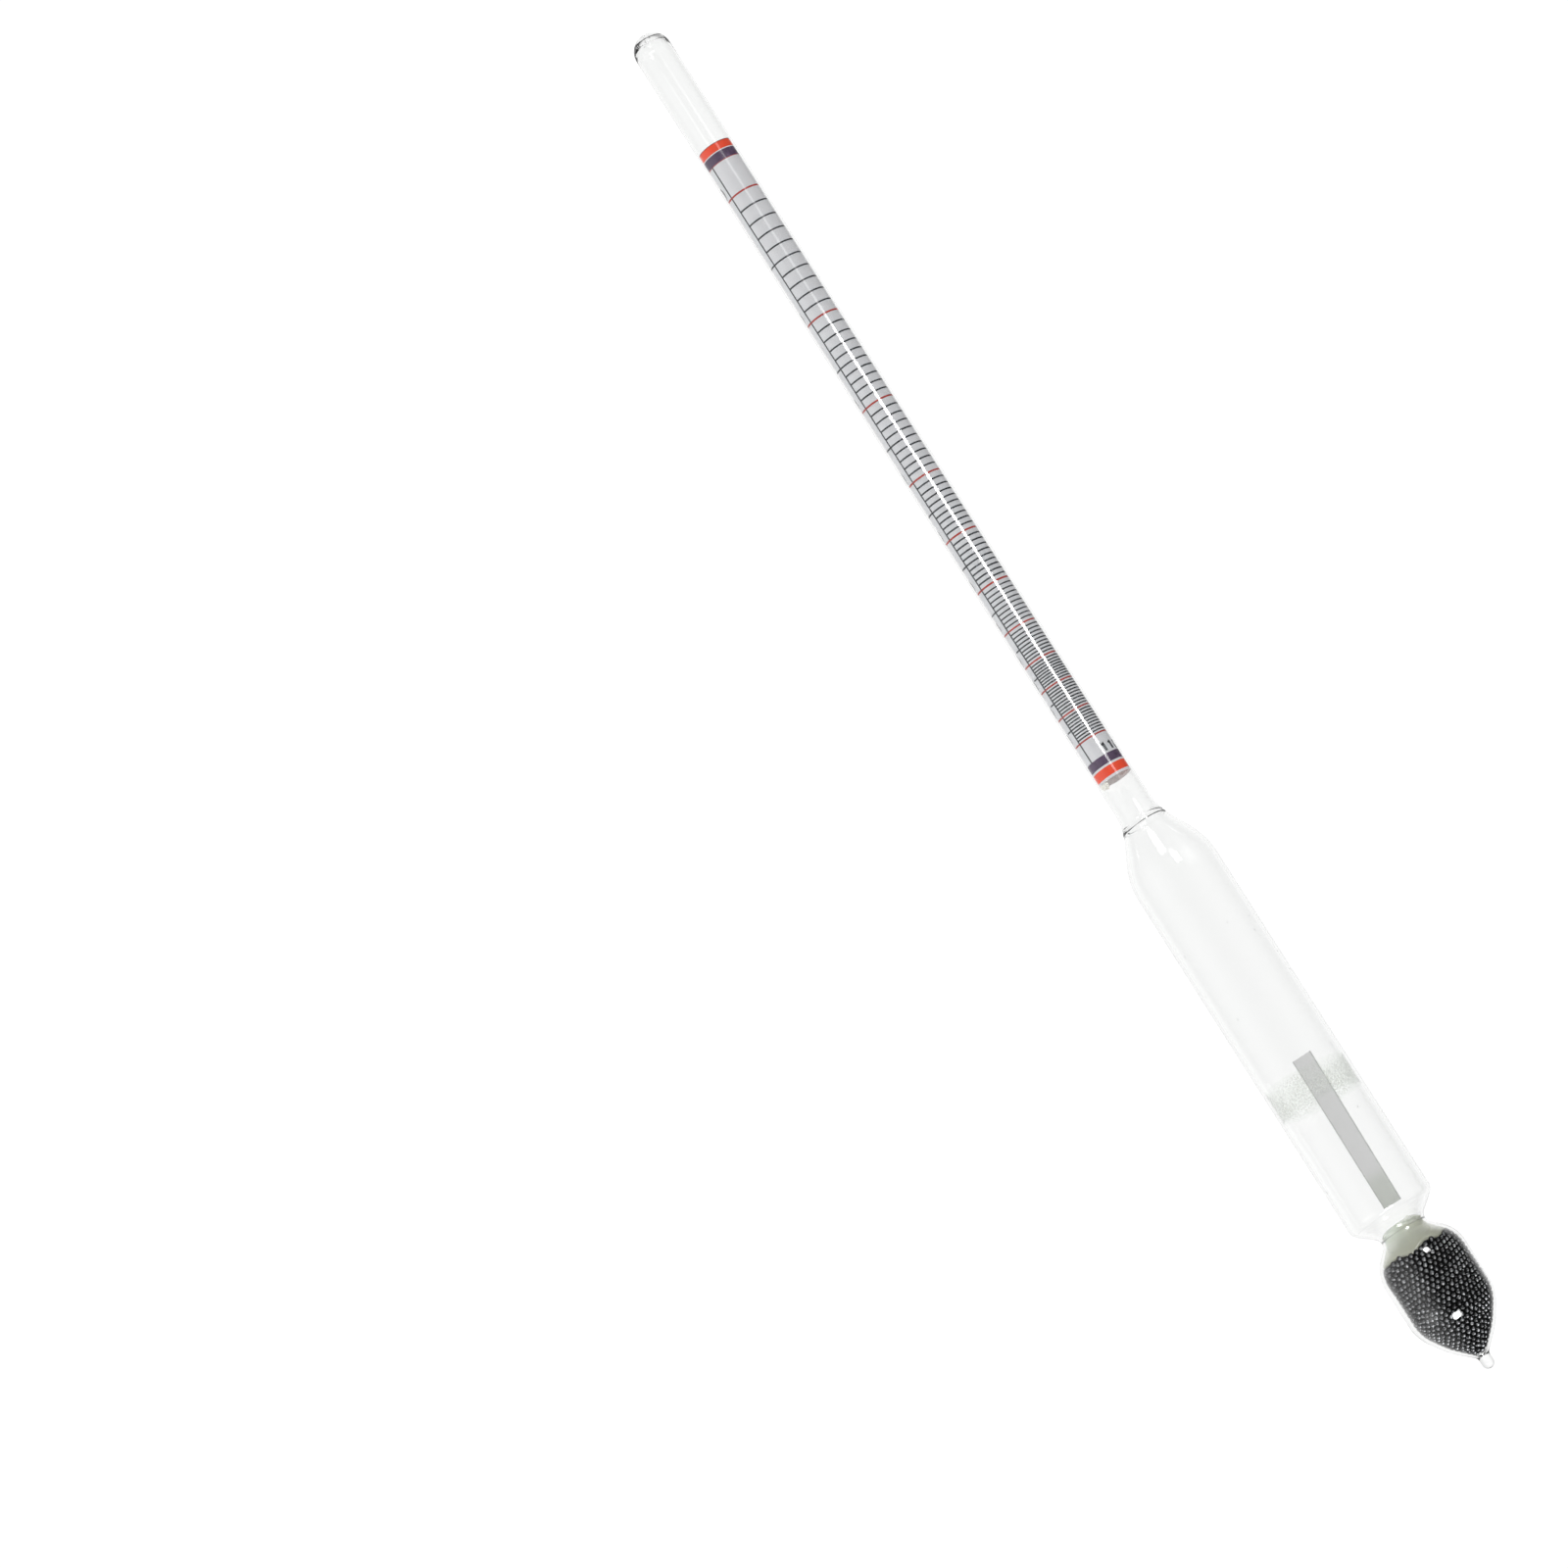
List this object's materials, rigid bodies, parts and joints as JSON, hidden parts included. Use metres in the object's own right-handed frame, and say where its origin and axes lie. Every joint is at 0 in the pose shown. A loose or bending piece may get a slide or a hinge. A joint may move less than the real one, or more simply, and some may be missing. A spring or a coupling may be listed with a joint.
{
  "type": "hydrometer",
  "caption": "Sealed glass alcohol hydrometer: thin stem with a rolled paper scale, wide float, waist and a ballast bulb of steel shot.",
  "frame": {"origin": "tip of the sealing nib, the lowest point, on the axis", "axes": "+Z along the axis from the nib to the stem's dome, -Y towards the side of the scale that is read"},
  "size_m": [0.016, 0.016, 0.28],
  "materials": {
    "stem_glass": "clear flame-polished glass",
    "float_glass": "clear glass with a faint green tint",
    "scale_paper": "matt white paper printed with black and red lines",
    "glue": "cloudy dried glue",
    "strip_paper": "plain grey paper strip",
    "glue_film": "thin frosted film",
    "shot": "dark polished steel balls",
    "resin": "cloudy grey-green cast resin"
  },
  "bodies": {
    "root": {"stem_tube": "stem_glass", "float_tube": "float_glass", "scale_roll": "scale_paper", "scale_glue": "glue", "name_strip": "strip_paper", "strip_glue_band": "glue_film", "ballast_shot": "shot", "ballast_resin": "resin"}
  },
  "joints": []
}
